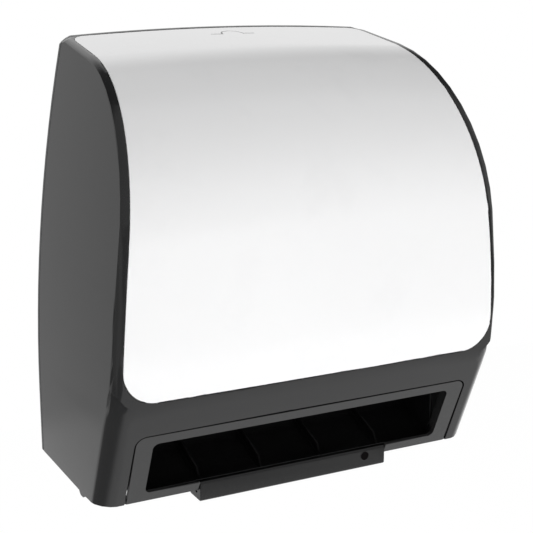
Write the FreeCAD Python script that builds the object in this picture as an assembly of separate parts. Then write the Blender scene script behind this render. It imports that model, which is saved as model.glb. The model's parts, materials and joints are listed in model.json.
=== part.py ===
import FreeCAD, Part
import math
import os

V = FreeCAD.Vector

# Automatic roll towel dispenser. Sizes are millimetres and angles degrees. Widths run along X, depths
# forward from the wall, heights up from the flat underside. The stored frame has its origin on the wall
# plane, midway between the four wall screws.

# Body
bodyWidth = 296.0
bodyHeight = 306.5
bodyDepth = 160.0
leanStart = 48.0
sideRadius = 1240.0
frontRadius = 700.0
frontMid = 145.0
shoulderStart = 187.5
shoulderRadius = 118.0
lowerDepth = 121.7
lowerLean = 23.6
kneeRadius = 40.0
crownRadius = 1900.0
crownTilt = 20.4

# Rounded corner between the front and each side
cornerWidth = 13.5
cornerDrop = 14.8
rimWidth = 5.7
rimDrop = 6.8
rimDropShoulder = 4.5
rimDropTop = 1.6
topCornerWidth = 9.0
topCornerDrop = 5.5
cornerTop = 70.0
cornerFacets = 4
cutReach = 20.0
rimBand = 8.0
cornerBulge = 0.36
rimBulge = 0.3

# Cover and its white panel
coverWall = 2.6
coverGap = 0.3
panelWall = 2.2
panelBottom = 81.9
panelCorner = 23.0
panelRear = 5.0
panelRearCorner = 10.0
panelGap = 0.3
ledgeGap = 0.2
ledgeWall = 2.3
ledgeOut = 5.0
ledgeIn = 10.0

# Key slot in the top of the panel
keySlotDepth = 25.0
keySlotWidth = 1.1
keyLoopRadius = 8.2
keyDash = 9.0

# Rear housing
flangeWall = 3.5
lipWall = 2.2
lipDepth = 12.0
floorWall = 2.5
floorDepth = 100.0
seat = 0.1

# Wall screws
screwSpanX = 190.0
screwSpanZ = 150.0
screwMidHeight = 187.0
screwHole = 5.5
screwBoss = 16.0
bossHeight = 3.0

# Cover hinge
hingeDepth = 89.0
hingeHeight = 3.5
hingePin = 4.0
hingeFit = 0.05
earRadius = 6.5
earWall = 4.5
earInner = 134.0
knuckleLength = 6.0

# Lock
boltWidth = 24.0
boltWall = 2.5
boltHeight = 10.0
boltDepth = 15.0
boltTravel = 6.0
slideGap = 0.3
strikeTop = 284.0
strikeWall = 2.4
strikeBar = 3.5
strikeHeight = 20.0
strikeBarHeight = 6.0
strikeFoot = 12.0

# Mouth: bezel, opening and chute
bezelHalf = 128.4
bezelTop = 60.3
bezelCorner = 7.0
bezelWall = 2.5
bezelSeam = 1.2
mouthHalf = 116.0
mouthBottom = 7.75
mouthTop = 52.9
mouthCornerTop = 4.5
mouthCornerLow = 4.5
mouthReturn = 8.0
mouthReturnWall = 1.6
chuteWall = 2.0
chuteSlope = 21.0
chuteLip = 120.3
chuteLipHeight = 4.2
chuteRear = 70.0
chuteBend = 24.0
chuteTop = 68.0
chuteEndWall = 1.5
ribPitch = 48.0
ribHeight = 5.5
ribWall = 2.0
ribTip = 9.0

# Sensor bar under the mouth
barHalf = 74.6
barFront = 123.7
barRear = 104.0
barTop = 6.4
barBottom = -8.2
barWall = 1.8
barGap = 0.3
lensRadius = 3.2
lensX = 57.5
lensHeight = 1.0

# Drive frame
frameInner = 118.0
frameWall = 3.0
frameRear = 62.0
frameTop = 108.0

# Feed and pinch rollers
feedHeight = 84.0
feedRadius = 15.0
feedCoreRadius = 10.0
feedShaft = 6.0
sleeveWidth = 56.0
sleevePitch = 112.0
nipAngle = 20.0
nipGap = 0.4
guideGap = 0.6
pinchRadius = 8.0
pinchShaft = 4.0
carrierPin = 2.0
guideRear = 130.6
guideWall = 2.0
guideLow = 51.0
guideHigh = 80.0
bushRadius = 6.5
runFit = 0.05

# Gear train
gearModule = 1.25
toothRoot = 0.94
toothTip = 0.34
pinionTeeth = 10
idlerLargeTeeth = 35
idlerSmallTeeth = 12
rollerTeeth = 28
gearWidth = 5.0
gearStep = 0.6
trainAngle = 24.6
motorRadius = 13.8
motorLength = 36.0
motorShaft = 2.0
motorGrip = 5.0
idlerPin = 4.0

# Batteries
cellRadius = 17.1
cellLength = 61.5
cellCount = 4
boxWall = 2.0
boxRear = 7.0
boxGap = 0.6
lidWall = 2.0
lidPin = 1.3
contactSpace = 2.6

# Roll holder
rollWidth = 203.0
rollDepth = 80.0
rollHeight = 190.0
coreRadius = 19.0
armWall = 3.5
armGap = 2.6
armFootHalf = 18.0
armTipRadius = 14.0
hubNose = 14.0
hubFlange = 1.8
hubPin = 6.0
armPinRadius = 1.5
armBarrel = 12.0

# Feed button
buttonX = 90.0
buttonHalf = 6.0
buttonTravel = 2.0

# Control board
boardWall = 1.6
boardSpace = 4.0

# Tear blade
bladePitch = 6.0
bladeTooth = 3.0
bladeEdge = 49.5
bladeHeight = 16.5
bladeWall = 0.8


def point(d, z, x=0.0):
    return V(x, -d, z)


def polar(centre, radius, angle):
    return (centre[0] + radius * math.cos(angle), centre[1] + radius * math.sin(angle))


def line(a, b):
    return Part.LineSegment(a, b).toShape()


def arc(a, b, c):
    return Part.Arc(a, b, c).toShape()


def block(x0, x1, d0, d1, z0, z1):
    return Part.makeBox(x1 - x0, d1 - d0, z1 - z0, V(x0, -d1, z0))


def rodX(radius, x0, x1, d, z):
    return Part.makeCylinder(radius, x1 - x0, V(x0, -d, z), V(1, 0, 0))


def rodY(radius, d0, d1, x, z):
    return Part.makeCylinder(radius, d1 - d0, V(x, -d1, z), V(0, 1, 0))


def rodZ(radius, z0, z1, x, d):
    return Part.makeCylinder(radius, z1 - z0, V(x, -d, z0), V(0, 0, 1))


def tubeX(outer, inner, x0, x1, d, z):
    return rodX(outer, x0, x1, d, z).cut(rodX(inner, x0, x1, d, z))


def plateX(corners, x0, x1):
    # a side-view polygon of (depth, height) corners, x1 - x0 thick
    wire = Part.makePolygon([point(d, z, x0) for d, z in corners + corners[:1]])
    return Part.Face(wire).extrude(V(x1 - x0, 0, 0))


def mirrored(shape):
    return shape.mirror(V(0, 0, 0), V(1, 0, 0))


def pair(shape):
    return [shape, mirrored(shape)]


def fuse(shapes):
    body = shapes[0].fuse(shapes[1:]) if len(shapes) > 1 else shapes[0]
    return body.removeSplitter()


def roundedFace(half, low, high, lowRadius, highRadius):
    # a mouth-shaped face in the XZ plane: straight sides, its own radius at the lower and upper corners
    k = math.sqrt(0.5)
    lowMid = lowRadius * (1 - k)
    highMid = highRadius * (1 - k)
    right = [
        line(V(0, 0, low), V(half - lowRadius, 0, low)),
        arc(V(half - lowRadius, 0, low), V(half - lowMid, 0, low + lowMid), V(half, 0, low + lowRadius)),
        line(V(half, 0, low + lowRadius), V(half, 0, high - highRadius)),
        arc(V(half, 0, high - highRadius), V(half - highMid, 0, high - highMid), V(half - highRadius, 0, high)),
        line(V(half - highRadius, 0, high), V(0, 0, high)),
    ]
    left = [mirrored(edge) for edge in right]
    return Part.Face(Part.Wire(Part.__sortEdges__(right + left)))


# Side view of the body, in (depth, height): a leaning lower face, a knee, a bowed front, a round shoulder
# and a top that falls gently forward from the wall.
lean = math.radians(lowerLean)
lineUp = (math.sin(lean), math.cos(lean))
lineOut = (math.cos(lean), -math.sin(lean))
frontCentre = (bodyDepth - frontRadius, frontMid)
shoulderAngle = math.asin((shoulderStart - frontMid) / frontRadius)
shoulderCentre = polar(frontCentre, frontRadius - shoulderRadius, shoulderAngle)
topRun = bodyHeight - shoulderCentre[1]
creaseAngle = math.atan2(shoulderCentre[0], topRun)
creaseAngle += math.asin(shoulderRadius / math.hypot(shoulderCentre[0], topRun))


def kneePlace():
    start = (
        lowerDepth - kneeRadius * lineOut[0] - frontCentre[0],
        -kneeRadius * lineOut[1] - frontCentre[1],
    )
    along = start[0] * lineUp[0] + start[1] * lineUp[1]
    beyond = start[0] ** 2 + start[1] ** 2 - (frontRadius - kneeRadius) ** 2
    run = math.sqrt(along * along - beyond) - along
    return (start[0] + run * lineUp[0] + frontCentre[0], start[1] + run * lineUp[1] + frontCentre[1])


kneeCentre = kneePlace()
kneeAngle = math.atan2(kneeCentre[1] - frontCentre[1], kneeCentre[0] - frontCentre[0])
reach = 30.0
sideTop = 330.0


def bend(centre, radius, start, end, runs):
    # an arc of the side view, or the given number of straight runs between its points
    if runs:
        turns = [start + (end - start) * i / runs for i in range(runs + 1)]
        spots = [point(*polar(centre, radius, turn)) for turn in turns]
        return [line(a, b) for a, b in zip(spots, spots[1:])]
    spots = [point(*polar(centre, radius, turn)) for turn in (start, (start + end) / 2, end)]
    return [arc(*spots)]


def sideProfile(inset):
    # the inner faces of a wall, which nobody sees, are made of straight runs
    inner = inset > 0
    knee = bend(kneeCentre, kneeRadius - inset, -lean, kneeAngle, 2 if inner else 0)
    front = bend(frontCentre, frontRadius - inset, kneeAngle, shoulderAngle, 3 if inner else 0)
    shoulder = bend(shoulderCentre, shoulderRadius - inset, shoulderAngle, creaseAngle, 6 if inner else 0)
    lineTop = polar(kneeCentre, kneeRadius - inset, -lean)
    crease = polar(shoulderCentre, shoulderRadius - inset, creaseAngle)
    rise = (crease[0] + reach) / math.tan(creaseAngle)
    rearTop = (-reach, crease[1] + rise)
    drop = (lineTop[1] + reach) / lineUp[1]
    bottom = (lineTop[0] - drop * lineUp[0], -reach)
    rearBottom = (-reach, -reach)
    edges = [line(point(*bottom), point(*lineTop))] + knee + front + shoulder + [
        line(point(*crease), point(*rearTop)),
        line(point(*rearTop), point(*rearBottom)),
        line(point(*rearBottom), point(*bottom)),
    ]
    return Part.Face(Part.Wire(edges))


def halfWidth(z, inset=0.0):
    # the sides stand straight up to leanStart, then lean in on one large arc
    if z <= leanStart:
        return bodyWidth / 2 - inset
    return bodyWidth / 2 - sideRadius + math.sqrt((sideRadius - inset) ** 2 - (z - leanStart) ** 2)


def sideFace(inset):
    half = bodyWidth / 2 - inset
    middle = (leanStart + sideTop) / 2
    halfMiddle = halfWidth(middle, inset)
    halfTop = halfWidth(sideTop, inset)
    edges = [
        line(V(-half, 0, -reach), V(half, 0, -reach)),
        line(V(half, 0, -reach), V(half, 0, leanStart)),
        arc(V(half, 0, leanStart), V(halfMiddle, 0, middle), V(halfTop, 0, sideTop)),
        line(V(halfTop, 0, sideTop), V(-halfTop, 0, sideTop)),
        arc(V(-halfTop, 0, sideTop), V(-halfMiddle, 0, middle), V(-half, 0, leanStart)),
        line(V(-half, 0, leanStart), V(-half, 0, -reach)),
    ]
    return Part.Face(Part.Wire(edges))


# The front and top are crowned across the width: the side view is swept about a far, tilted axis.
tilt = math.radians(crownTilt)
crownPoint = point(0, bodyHeight) + V(0, math.sin(tilt), -math.cos(tilt)) * crownRadius
crownAxis = V(0, math.cos(tilt), math.sin(tilt))
sweepHalf = 6.0


def skin(inset, sideInset=None):
    if sideInset is None:
        sideInset = inset
    face = sideProfile(inset)
    face.rotate(crownPoint, crownAxis, -sweepHalf)
    swept = face.revolve(crownPoint, crownAxis, 2 * sweepHalf)
    sides = sideFace(sideInset).extrude(V(0, -bodyDepth - reach, 0))
    room = block(-bodyWidth, bodyWidth, 0, bodyDepth + reach, 0, sideTop)
    return swept.common(sides).common(room)


def crowned(d, z, x):
    # the point of the side view (d, z), carried round the crown axis to width x
    start = point(d, z) - crownPoint
    radius = start.cross(crownAxis).Length
    turn = math.degrees(math.asin(x / radius))
    moved = FreeCAD.Rotation(crownAxis, turn).multVec(start)
    if moved.x * x < 0:
        moved = FreeCAD.Rotation(crownAxis, -turn).multVec(start)
    return moved + crownPoint


def onLine(z):
    return (lowerDepth + z * math.tan(lean), z, -lean)


def onFront(z):
    angle = math.asin((z - frontMid) / frontRadius)
    place = polar(frontCentre, frontRadius, angle)
    return (place[0], place[1], angle)


def onShoulder(share):
    angle = shoulderAngle + (creaseAngle - shoulderAngle) * share
    place = polar(shoulderCentre, shoulderRadius, angle)
    return (place[0], place[1], angle)


def onTop(d):
    crease = polar(shoulderCentre, shoulderRadius, creaseAngle)
    return (d, crease[1] + (crease[0] - d) / math.tan(creaseAngle), creaseAngle)


def shoulderDrop(share):
    # the round beside the rim shrinks over the first half of the shoulder
    left = max(0.0, 1.0 - share / 0.45)
    return rimDropTop + (rimDropShoulder - rimDropTop) * left ** 1.3


def onKnee(share):
    angle = -lean + (kneeAngle + lean) * share
    place = polar(kneeCentre, kneeRadius, angle)
    return (place[0], place[1], angle)


# Sections of the two corner cuts: (place on the side view, width across the front, depth down the side)
lowSections = [
    (onLine(-12.0), cornerWidth, cornerDrop),
    (onLine(cornerTop), cornerWidth, cornerDrop),
    (onKnee(0.5), cornerWidth, 13.6),
    (onFront(91.0), cornerWidth, 11.9),
    (onFront(108.0), cornerWidth, 9.4),
    (onFront(130.0), cornerWidth, 7.4),
]
rimSections = [
    (onLine(60.0), rimWidth, cornerDrop),
    (onLine(cornerTop), rimWidth, cornerDrop),
    (onKnee(0.5), rimWidth, 13.6),
    (onFront(91.0), rimWidth, 11.9),
    (onFront(108.0), rimWidth, 9.4),
    (onFront(124.0), rimWidth, 7.6),
    (onFront(150.0), rimWidth, rimDrop),
]
shoulderSteps = 10
for step in range(shoulderSteps + 1):
    rimSections.append((onShoulder(step / shoulderSteps), rimWidth, shoulderDrop(step / shoulderSteps)))
rimSections.append((onTop(12.0), rimWidth, rimDropTop))
for depth in (2.0, -12.0):
    rimSections.append((onTop(depth), topCornerWidth, topCornerDrop))


def beside(d, z, side, across):
    # the crowned point that stands the given distance inside the side wall
    x = side * (halfWidth(z) - across)
    for _ in range(4):
        x = side * (halfWidth(crowned(d, z, x).z) - across)
    return crowned(d, z, x)


def cornerSection(place, across, drop, bulge, inset, side):
    d, z, angle = place
    out = (math.cos(angle), math.sin(angle))
    low = beside(d - drop * out[0], z - drop * out[1], side, 0.0)
    high = beside(d, z, side, across)
    edge = beside(d, z, side, 0.0)
    sideways = V(side, 0, 0)
    forward = V(0, -out[0], out[1])
    inward = (sideways * -drop + forward * -across).normalize() * inset
    outward = edge - (low + high) * 0.5
    middle = (low + high) * 0.5 + outward * bulge + inward
    low = low + inward
    high = high + inward
    over = 1.5 + 1.2 * inset
    low = low + (low - middle).normalize() * over
    high = high + (high - middle).normalize() * over
    # every point stays in one plane, so that the cut's two ends are flat
    far = middle + outward.normalize() * cutReach
    if inset > 0:
        return Part.makePolygon([low, middle, high, far, low])
    rounded = Part.Arc(low, middle, high).discretize(cornerFacets + 1)
    return Part.makePolygon([far] + rounded + [far])


def rimRegion(inset):
    # what lies inside the rim's outline, which runs round the panel's lower corners
    radius = panelCorner + rimBand - inset
    z = panelBottom + panelCorner
    x = halfWidth(z, rimWidth) - panelCorner
    near = -reach
    low = z - radius
    slant = radius * math.sqrt(0.5)
    edges = [
        arc(V(-x - radius, near, z), V(-x - slant, near, z - slant), V(-x, near, low)),
        line(V(-x, near, low), V(x, near, low)),
        arc(V(x, near, low), V(x + slant, near, z - slant), V(x + radius, near, z)),
        line(V(x + radius, near, z), V(x + radius, near, sideTop)),
        line(V(x + radius, near, sideTop), V(-x - radius, near, sideTop)),
        line(V(-x - radius, near, sideTop), V(-x - radius, near, z)),
    ]
    return Part.Face(Part.Wire(edges)).extrude(V(0, -bodyDepth, 0))


def softened(inset):
    # the skin with its front corners rounded. The large round below stops at the rim's outline, so that
    # the rim stands a little proud of it.
    body = skin(inset)
    rim = rimRegion(inset)
    for side in (-1, 1):
        low = [cornerSection(p, a, b, cornerBulge, inset, side) for p, a, b in lowSections]
        high = [cornerSection(p, a, b, rimBulge, inset, side) for p, a, b in rimSections]
        body = body.cut(Part.makeLoft(high, True, True))
        body = body.cut(Part.makeLoft(low, True, True).cut(rim))
    return body


def panelRegion(grow):
    # the space in front of and above the white panel's outline, grown all round
    outline = sideFace(rimWidth - grow).extrude(V(0, -bodyDepth - reach, 0))
    outline = outline.common(block(-bodyWidth, bodyWidth, 0, bodyDepth + reach, panelBottom - grow, sideTop))
    lowEdges = []
    for edge in outline.Edges:
        box = edge.BoundBox
        straight = box.XLength < 0.01 and box.ZLength < 0.01
        if straight and box.ZMin < panelBottom - grow + 0.01:
            lowEdges.append(edge)
    outline = outline.makeFillet(panelCorner + grow, lowEdges)
    rear = panelRear - grow
    radius = max(panelRearCorner + grow, 2.0)
    half = halfWidth(bodyHeight - 4.0, rimWidth - grow)
    outline = outline.cut(block(-bodyWidth, bodyWidth, -1, rear, 0, sideTop))
    remover = block(half - radius, bodyWidth, rear - 1, rear + radius, 0, sideTop)
    remover = remover.cut(rodZ(radius, 0, sideTop, half - radius, rear + radius))
    return outline.cut(pair(remover))


def tilted(shape):
    # from the flat sketch of the leaning lower face to its place on the body
    shape.rotate(V(0, 0, 0), V(1, 0, 0), lowerLean)
    shape.translate(V(0, -lowerDepth, 0))
    return shape


def groundCut(shape):
    return shape.cut(block(-bodyWidth, bodyWidth, -reach, bodyDepth + reach, -2 * reach, 0))


# Where things sit
hinge = (hingeDepth, hingeHeight)
pinchReach = feedRadius + pinchRadius + nipGap
nip = math.radians(nipAngle)
feedAxis = (guideRear - guideGap - pinchRadius - pinchReach * math.cos(nip), feedHeight)
pinchAxis = polar(feedAxis, pinchReach, nip)
carrierAxis = (pinchAxis[0] + pinchRadius + 2.2, pinchAxis[1] + 21.0)
train = math.radians(180.0 - trainAngle)
idlerReach = gearModule * (idlerSmallTeeth + rollerTeeth) / 2
motorReach = gearModule * (idlerLargeTeeth + pinionTeeth) / 2
idlerAxis = polar(feedAxis, idlerReach, train)
motorAxis = polar(idlerAxis, motorReach, train)
boxInside = cellCount * cellLength / 2 + contactSpace
boxHalf = boxInside + boxWall
boxFront = boxRear + 2 * (cellRadius + boxGap + boxWall)
cellDepth = (boxRear + boxFront) / 2
cellHeight = floorWall + seat + boxWall + boxGap + cellRadius
boxTop = cellHeight + cellRadius + boxGap
lidAxis = (boxRear + lidWall, boxTop + seat + lidWall / 2)
armInner = rollWidth / 2 + armGap
boltRest = strikeTop + 1.0


def screwPlaces():
    return [(sx * screwSpanX / 2, screwMidHeight + sz * screwSpanZ / 2) for sx in (-1, 1) for sz in (-1, 1)]


def rearHousing():
    outer = softened(0)
    body = outer.common(block(-bodyWidth, bodyWidth, 0, flangeWall, 0, sideTop))
    under = panelWall + ledgeGap + ledgeWall + coverGap
    back = coverWall + coverGap
    lip = softened(back).common(skin(under, back)).cut(skin(under + lipWall, back + lipWall))
    lip = lip.common(block(-bodyWidth, bodyWidth, flangeWall - 1, lipDepth, floorWall, sideTop))
    half = bodyWidth / 2 - coverWall - coverGap
    notch = earInner + earWall
    floor = block(-half, half, flangeWall - 1, hingeDepth - 14, 0, floorWall)
    floor = floor.fuse(block(-notch, notch, hingeDepth - 15, floorDepth, 0, floorWall))
    parts = [body, lip, floor]
    # hinge ears
    ear = rodX(earRadius, earInner, notch, *hinge)
    ear = ear.fuse(block(earInner, notch, hingeDepth - earRadius, hingeDepth + earRadius, 0, hingeHeight))
    parts += pair(ear)
    # bosses round the wall screws
    for x, z in screwPlaces():
        half = screwBoss / 2
        parts.append(block(x - half, x + half, flangeWall - 1, flangeWall + bossHeight, z - half, z + half))
    # upright and cross ribs of the wall plate
    for x in (60.0, 125.0):
        parts += pair(block(x, x + 1.8, flangeWall - 1, flangeWall + 2.5, boxTop + 12, strikeTop - 30))
    for z in (screwMidHeight - 30.0, screwMidHeight + 30.0):
        parts.append(block(-60, 60, flangeWall - 1, flangeWall + 2.5, z, z + 1.8))
    housing = fuse(parts)
    cuts = [rodY(screwHole / 2, -1, flangeWall + bossHeight + 1, x, z) for x, z in screwPlaces()]
    cuts.append(rodX(hingePin / 2 + hingeFit, -notch - 1, notch + 1, *hinge))
    return housing.cut(cuts)


def bezelOpening(grow, inward):
    # the cover's cut-out round the bezel, drafted so that the cover swings clear of it
    face = roundedFace(bezelHalf + grow, -40, bezelTop + grow, 1.0, bezelCorner + grow)
    face.translate(V(0, -8, -8 * inward))
    return tilted(face.extrude(V(0, 60, 60 * inward)))


def coverShell():
    outer = softened(0)
    body = outer.cut(softened(coverWall))
    body = body.cut(panelRegion(panelGap))
    ledge = skin(panelWall + ledgeGap).cut(skin(panelWall + ledgeGap + ledgeWall, -coverWall))
    ledge = ledge.common(panelRegion(ledgeOut)).cut(panelRegion(-ledgeIn)).common(softened(seat))
    body = body.fuse(ledge)
    body = body.cut(bezelOpening(bezelSeam, 0.5))
    body = body.cut(block(-bodyWidth, bodyWidth, -1, flangeWall + coverGap, -1, sideTop))
    # hinge ears: a lug on each side wall and a knuckle inside it
    ears = []
    for side in (-1, 1):
        inner = bodyWidth / 2 - coverWall
        lug = rodX(earRadius, inner - 0.5, bodyWidth / 2, *hinge)
        knuckle = rodX(earRadius, inner - knuckleLength, inner, *hinge)
        ear = lug.fuse(knuckle).removeSplitter()
        bore = rodX(hingePin / 2 + hingeFit, inner - knuckleLength - 1, inner + 0.6, *hinge)
        ear = ear.cut(bore)
        ears.append(ear if side > 0 else mirrored(ear))
    body = fuse([body] + ears)
    bore = rodX(hingePin / 2 + hingeFit, 0, bodyWidth / 2 - coverWall + 0.6, *hinge)
    # the rim runs out to nothing beside the shoulder, and its offcuts fall away
    return max(body.cut(pair(bore)).Solids, key=lambda solid: solid.Volume)


def frontPanel():
    body = skin(0).cut(skin(panelWall)).common(panelRegion(0))
    loop = rodZ(keyLoopRadius + keySlotWidth / 2, screwMidHeight, sideTop, 0, keySlotDepth)
    loop = loop.cut(rodZ(keyLoopRadius - keySlotWidth / 2, screwMidHeight, sideTop, 0, keySlotDepth))
    front = keySlotDepth + keySlotWidth / 2
    loop = loop.cut(block(-20, 20, front, front + 20, screwMidHeight, sideTop))
    dash = block(keyLoopRadius, keyLoopRadius + keyDash, keySlotDepth - keySlotWidth / 2, front,
                 screwMidHeight, sideTop)
    return body.cut([loop] + pair(dash))


def lockStrike():
    # a bracket on the wall plate: two cheeks and the bar that the lowered bolt stands behind
    near = flangeWall + seat
    bar = boltDepth + boltWall + slideGap
    inner = boltWidth / 2 + slideGap
    half = inner + strikeWall
    low = strikeTop - strikeHeight
    barLow = strikeTop - strikeBarHeight
    cheek = plateX(
        [(near, low), (near, strikeTop), (bar + strikeBar, strikeTop), (bar + strikeBar, barLow)],
        inner, half)
    front = block(-half, half, bar, bar + strikeBar, barLow, strikeTop)
    foot = block(-half, half, near, near + strikeWall, low, low + strikeFoot)
    return fuse([front, foot] + pair(cheek))


def hingePins():
    end = bodyWidth / 2 - coverWall
    return pair(rodX(hingePin / 2, earInner, end, *hinge))


def lockGuide():
    # two channels and a front web that hold the bolt under the cover's top
    half = boltWidth / 2 + slideGap
    rear = boltDepth - slideGap - 2.0
    front = boltDepth + boltWall + slideGap
    low = strikeTop + 2.0
    parts = [block(-half - 3, half + 3, front, front + 2, low, sideTop)]
    cheek = block(half, half + 3, rear, front + 1, low, sideTop)
    hook = block(half - 2.5, half + 1, rear, rear + 2, low, sideTop)
    parts += pair(cheek) + pair(hook)
    body = fuse(parts).common(skin(panelWall + ledgeGap + ledgeWall + seat))
    tab = keyLoopRadius + slideGap
    window = block(-tab, tab, front - 1, front + 3, 0, boltRest + boltHeight + slideGap)
    return body.cut(window)


def lockBolt():
    # rests drawn up; a key pushes the tab down and the tongue enters the strike
    top = boltRest + boltHeight
    half = boltWidth / 2
    tongue = block(-half, half, boltDepth, boltDepth + boltWall, boltRest, top)
    tab = block(-keyLoopRadius, keyLoopRadius, boltDepth, keySlotDepth + 3, top - boltWall, top)
    return fuse([tongue, tab])


def throatBezel():
    plate = roundedFace(bezelHalf, -6, bezelTop, 0.5, bezelCorner).extrude(V(0, bezelWall, 0))
    mouth = roundedFace(mouthHalf, mouthBottom, mouthTop, mouthCornerLow, mouthCornerTop)
    grown = roundedFace(
        mouthHalf + mouthReturnWall, mouthBottom - mouthReturnWall, mouthTop + mouthReturnWall,
        mouthCornerLow + mouthReturnWall, mouthCornerTop + mouthReturnWall)
    hole = mouth.extrude(V(0, mouthReturn + 2, 0))
    hole.translate(V(0, -1, 0))
    rim = grown.extrude(V(0, mouthReturn, 0))
    below = mouthBottom + mouthCornerLow
    rim = rim.cut(block(-bezelHalf, bezelHalf, -mouthReturn - 1, -bezelWall, -reach, below))
    body = plate.fuse(rim)
    ear = block(frameInner + frameWall + 0.2, frameInner + frameWall + 2.2, -22, -bezelWall + 1, 18, 40)
    body = fuse([body] + pair(ear)).cut(hole)
    body = tilted(body)
    notch = barHalf + barGap
    notchTop = mouthBottom * math.cos(lean) + 0.6
    body = body.cut(block(-notch, notch, barRear, bodyDepth, -1, notchTop))
    return groundCut(body)


def chutePath():
    # the paper slides down a steep back wall and out over a sloping floor
    slope = math.radians(chuteSlope)
    corner = (chuteRear, chuteLipHeight + (chuteLip - chuteRear) * math.tan(slope))
    run = chuteBend * math.tan((math.pi / 2 - slope) / 2)
    low = (corner[0] + run * math.cos(slope), corner[1] - run * math.sin(slope))
    centre = (chuteRear + chuteBend, corner[1] + run)
    bend = polar(centre, chuteBend, math.pi + (math.pi / 2 - slope) / 2)
    return Part.Wire([
        line(point(chuteLip, chuteLipHeight), point(*low)),
        arc(point(*low), point(*bend), point(chuteRear, centre[1])),
        line(point(chuteRear, centre[1]), point(chuteRear, chuteTop)),
    ])


def chuteStrip(x0, x1, offset):
    strip = chutePath().makeOffset2D(offset, 0, True, True)
    strip.translate(V(x0, 0, 0))
    return strip.extrude(V(x1 - x0, 0, 0))


def behindBezel(along):
    # just behind the bezel's return, the given distance up the leaning face
    back = mouthReturn + coverGap
    return (lowerDepth + along * lineUp[0] - back * lineOut[0], along * lineUp[1] - back * lineOut[1])


def ribPlaces():
    return [i * ribPitch / 2 for i in (-3, -1, 1, 3)]


def paperChute():
    half = frameInner - 0.2
    parts = [chuteStrip(-half, half, chuteWall)]
    for x in ribPlaces():
        parts.append(chuteStrip(x - ribWall / 2, x + ribWall / 2, -ribHeight))
    slope = math.tan(math.radians(chuteSlope))
    under = chuteLipHeight - 1.5
    endTop = 64.0
    high = behindBezel(46.0)
    low = behindBezel(6.0)
    endProfile = [
        (chuteRear - chuteWall, 30.0), (chuteRear - chuteWall, endTop), (112.0, endTop),
        high, low, (low[0], under),
        (chuteRear + 26, under + (chuteLip - chuteRear - 26) * slope),
    ]
    parts += pair(plateX(endProfile, half - chuteEndWall, half))
    # foot: a front flange beside the housing floor and a tongue that lies on it
    parts.append(block(-half, half, floorDepth + 0.2, chuteLip, 0, floorWall + seat + 0.5))
    parts.append(block(-half, half, chuteLip - 4, chuteLip, 0, chuteLipHeight))
    tongue = floorWall + seat
    parts.append(block(-half, half, floorDepth - 14, floorDepth + 3, tongue, tongue + 2))
    for x in (-100.0, 100.0):
        parts.append(block(x - 3, x + 3, floorDepth - 12, floorDepth - 6, tongue, tongue + 10))
    body = fuse(parts)
    room = block(lensX - 5, lensX + 5, floorDepth + 6, bodyDepth, -1, lensHeight + 2.4)
    # the ribs run out in a slant behind the mouth's lower edge
    nose = plateX(
        [(chuteLip - ribTip, 60), (chuteLip - ribTip, chuteLipHeight + ribTip * slope + ribHeight + 0.5),
         (chuteLip - 1.8, chuteLipHeight + 0.3), (bodyDepth, chuteLipHeight + 0.3), (bodyDepth, 60)],
        -mouthHalf + 2, mouthHalf - 2)
    front = block(-half - 1, half + 1, chuteLip, bodyDepth, -1, 60)
    plate = tilted(block(-half - 1, half + 1, -bezelWall - seat, reach, -reach, 6.0))
    return body.cut([room, nose, front, plate])


def frontGuide():
    # the wall in front of the paper, which carries the tear blade
    front = guideRear + guideWall
    half = frameInner - 0.2
    wall = block(-half, half, guideRear, front, guideLow, guideHigh)
    lead = plateX([(guideRear, guideHigh - 1), (front, guideHigh - 1), (front + 3.5, guideHigh + 4),
                   (guideRear + 1.5, guideHigh + 4)], -half, half)
    cheek = block(half - 2, half, guideRear - 16, guideRear + 1, guideHigh - 14, guideHigh)
    return fuse([wall, lead] + pair(cheek))


def tearBlade():
    rear = guideRear + guideWall + seat
    half = mouthHalf - 1.0
    count = int(2 * half / bladePitch)
    start = -count * bladePitch / 2
    root = bladeEdge + bladeTooth
    top = bladeEdge + bladeHeight
    corners = [V(start, 0, top)]
    for i in range(count):
        corners.append(V(start + i * bladePitch, 0, root))
        corners.append(V(start + (i + 0.5) * bladePitch, 0, bladeEdge))
    corners += [V(-start, 0, root), V(-start, 0, top)]
    face = Part.Face(Part.makePolygon(corners + corners[:1]))
    face.translate(V(0, -rear, 0))
    return face.extrude(V(0, -bladeWall, 0))


def sensorBar():
    # an L-shaped shell: a front wall that rises into the mouth, and a shallow box under the floor
    bevel = 1.8
    wall = 2.6
    profile = [
        (barRear + 2.6, barBottom), (barFront - 1.2, barBottom), (barFront, barBottom + 1.2),
        (barFront, barTop - bevel), (barFront - 0.8, barTop), (barFront - wall, barTop),
        (barFront - wall, -seat), (barRear, -seat), (barRear, barBottom + 2.6),
    ]
    body = plateX(profile, -barHalf, barHalf)
    inside = block(-barHalf + barWall, barHalf - barWall, barRear + barWall, barFront - wall,
                   barBottom + barWall, 1.0)
    return body.cut([inside, rodY(lensRadius, barRear, bodyDepth, lensX, lensHeight)])


def sensorLens():
    return rodY(lensRadius - 0.05, barFront - 2.6, barFront + 0.2, lensX, lensHeight)


def proximitySensor():
    return rodY(2.3, floorDepth + 8, floorDepth + 15, lensX, lensHeight)


def sensorBoard():
    low = barBottom + barWall + 0.6
    board = block(30.0, 59.4, 107.0, 119.0, low, low + 1.6)
    chip = block(36.0, 44.0, 109.0, 116.0, low + 1.6, low + 3.0)
    return fuse([board, chip])


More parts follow.
